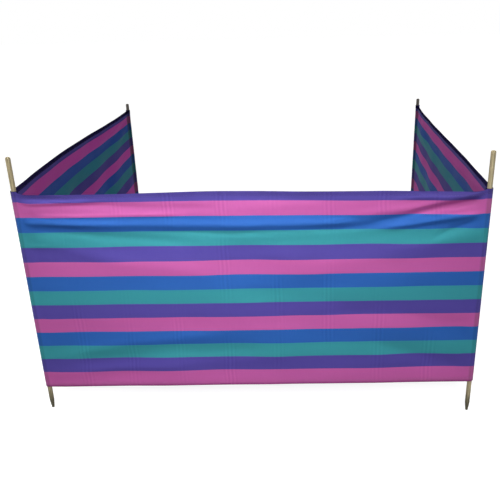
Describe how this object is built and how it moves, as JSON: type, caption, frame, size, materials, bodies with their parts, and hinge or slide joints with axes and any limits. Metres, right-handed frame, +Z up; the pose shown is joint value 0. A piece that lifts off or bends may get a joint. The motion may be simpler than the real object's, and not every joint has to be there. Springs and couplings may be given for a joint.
{
  "type": "beach windbreak",
  "caption": "Striped cloth windbreak on wooden poles, set out round three sides of a square, with sewn pole pockets and hems.",
  "frame": {"origin": "centre of the front left pole's foot, at ground level", "axes": "+X along the front cloth to the right, +Y back along the wings to the open side, +Z up"},
  "size_m": [2.1718, 2.1021, 1.29],
  "materials": {
    "pole_wood": "smooth bare softwood dowel",
    "striped_cloth": "satin woven cloth in pink, blue, teal and purple stripes",
    "hem_cloth": "the same cloth, turned in and stitched"
  },
  "bodies": {
    "root": {"pole_front_left": "pole_wood", "pole_front_right": "pole_wood", "pole_rear_left": "pole_wood", "pole_rear_right": "pole_wood", "cloth_front": "striped_cloth", "cloth_wing_left": "striped_cloth", "cloth_wing_right": "striped_cloth", "pocket_front_left": "striped_cloth", "pocket_front_right": "striped_cloth", "pocket_rear_left": "striped_cloth", "pocket_rear_right": "striped_cloth", "top_hem_front": "hem_cloth", "top_hem_wing_left": "hem_cloth", "top_hem_wing_right": "hem_cloth", "bottom_hem_front": "hem_cloth", "bottom_hem_wing_left": "hem_cloth", "bottom_hem_wing_right": "hem_cloth", "pocket_top_hem_front_left": "hem_cloth", "pocket_top_hem_front_right": "hem_cloth", "pocket_top_hem_rear_left": "hem_cloth", "pocket_top_hem_rear_right": "hem_cloth", "pocket_bottom_hem_front_left": "hem_cloth", "pocket_bottom_hem_front_right": "hem_cloth", "pocket_bottom_hem_rear_left": "hem_cloth", "pocket_bottom_hem_rear_right": "hem_cloth"}
  },
  "joints": []
}
